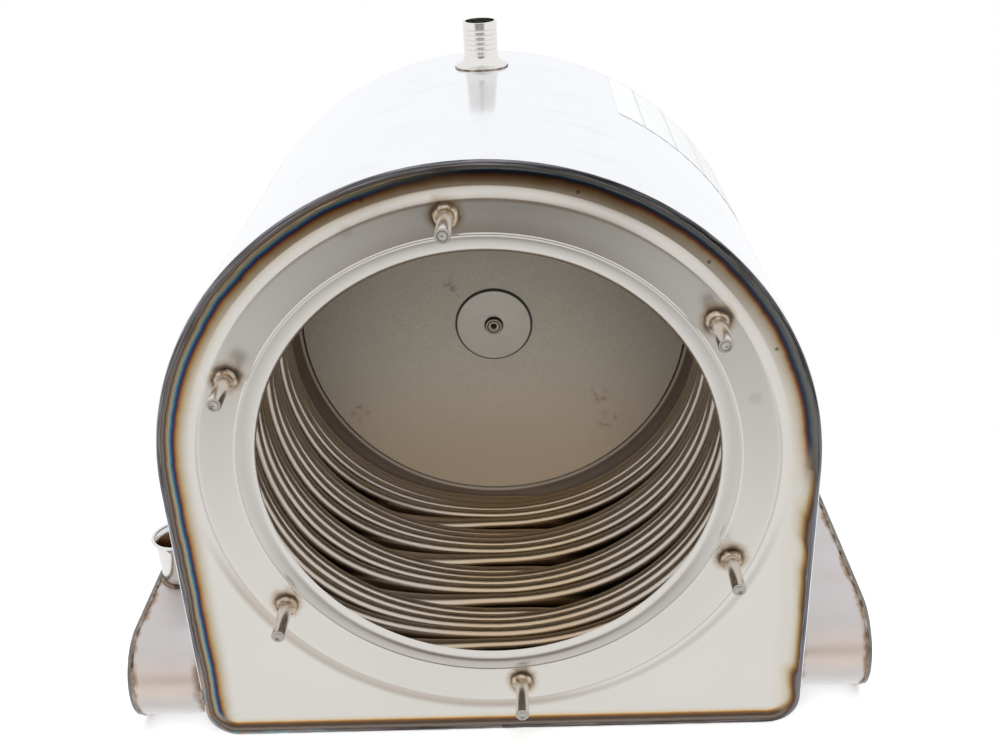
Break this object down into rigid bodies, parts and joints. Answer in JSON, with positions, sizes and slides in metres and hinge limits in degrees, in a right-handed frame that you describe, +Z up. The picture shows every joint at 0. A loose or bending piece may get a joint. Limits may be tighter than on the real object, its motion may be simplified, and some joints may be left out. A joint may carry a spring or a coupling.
{
  "type": "boiler heat exchanger",
  "caption": "Stainless condensing boiler heat exchanger: D-shaped shell with an open round combustion chamber lined by flattened tube coils, side water headers and a studded burner door seat.",
  "frame": {"origin": "middle of the flat base, on the plane it stands on", "axes": "+X to the right seen from the open front, +Y from the open front to the rear, +Z up"},
  "size_m": [0.3516, 0.2407, 0.3018],
  "materials": {
    "shell_steel": "bright rolled sheet with a soft mirror",
    "plate_steel": "satin pressed sheet with heat tint along the welds",
    "header_steel": "satin sheet with brown weld tint",
    "pipe_steel": "turned tube",
    "stud_steel": "bright stud with a brown weld collar",
    "coil_steel": "bronze heat-tinted tube",
    "washer_steel": "brushed",
    "disc_board": "matte mineral board with faint stains"
  },
  "bodies": {
    "root": {"shell": "shell_steel", "front_plate": "plate_steel", "rear_plate": "plate_steel", "flue_collar": "pipe_steel", "top_spigot": "pipe_steel", "left_stub": "pipe_steel", "right_stub": "pipe_steel", "left_header": "header_steel", "right_header": "header_steel", "left_header_cover": "header_steel", "right_header_cover": "header_steel", "baffle_pan": "washer_steel", "disc_washer": "washer_steel", "disc_screw": "washer_steel", "baffle_post": "washer_steel", "insulation_disc": "disc_board", "stud_1": "stud_steel", "stud_2": "stud_steel", "stud_3": "stud_steel", "stud_4": "stud_steel", "stud_5": "stud_steel", "stud_6": "stud_steel", "coil_1": "coil_steel", "coil_2": "coil_steel", "coil_3": "coil_steel", "coil_4": "coil_steel"}
  },
  "joints": []
}
